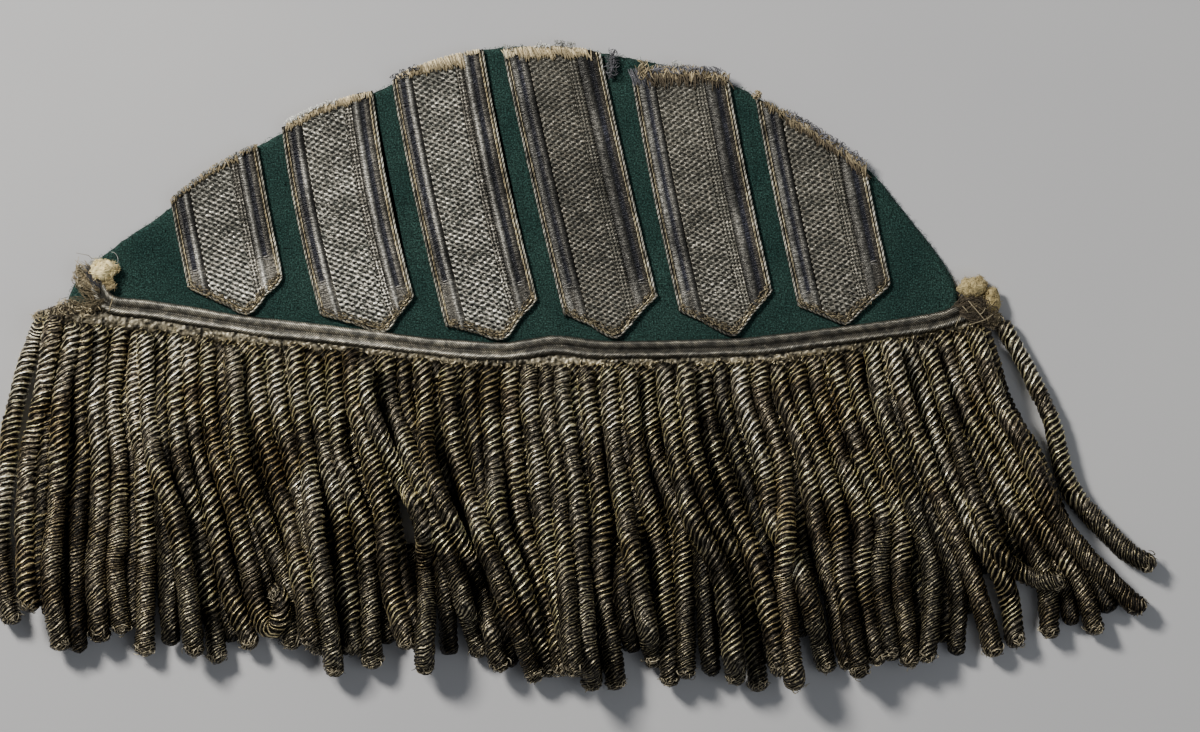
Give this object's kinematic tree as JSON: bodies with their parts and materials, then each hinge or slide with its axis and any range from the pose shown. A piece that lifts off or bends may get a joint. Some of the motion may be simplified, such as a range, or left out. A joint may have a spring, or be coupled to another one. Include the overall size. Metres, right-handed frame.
{
  "type": "swallows nest",
  "caption": "Worn shoulder ornament: a half-moon of dark green cloth with slanting pointed stripes of tarnished metal lace, a braided lower seam and a long skirt of twisted bullion fringe.",
  "frame": {"origin": "on the back face of the cloth, 42 mm below its crown and about midway along the nest, where it is sewn down", "axes": "+X along the nest towards the end with the stray strand, +Y from the fringe up to the crown of the cloth, +Z out of the decorated face"},
  "size_m": [0.2704, 0.1491, 0.0082],
  "materials": {
    "cloth": "dark bottle green felted wool",
    "lace": "tarnished silver and gold metal thread lace",
    "braid": "tarnished metal thread braid",
    "heading": "dull gold gimp",
    "bullion": "tarnished gold twisted bullion cord",
    "wadding": "yellowed cotton wadding"
  },
  "bodies": {
    "root": {"cloth_base": "cloth", "lace_stripe_1": "lace", "lace_stripe_2": "lace", "lace_stripe_3": "lace", "lace_stripe_4": "lace", "lace_stripe_5": "lace", "lace_stripe_6": "lace", "edge_braid": "braid", "fringe_head": "heading", "bullion_fringe": "bullion", "left_end_strand": "bullion", "stray_strand": "bullion", "wadding_left": "wadding", "wadding_right": "wadding"}
  },
  "joints": []
}
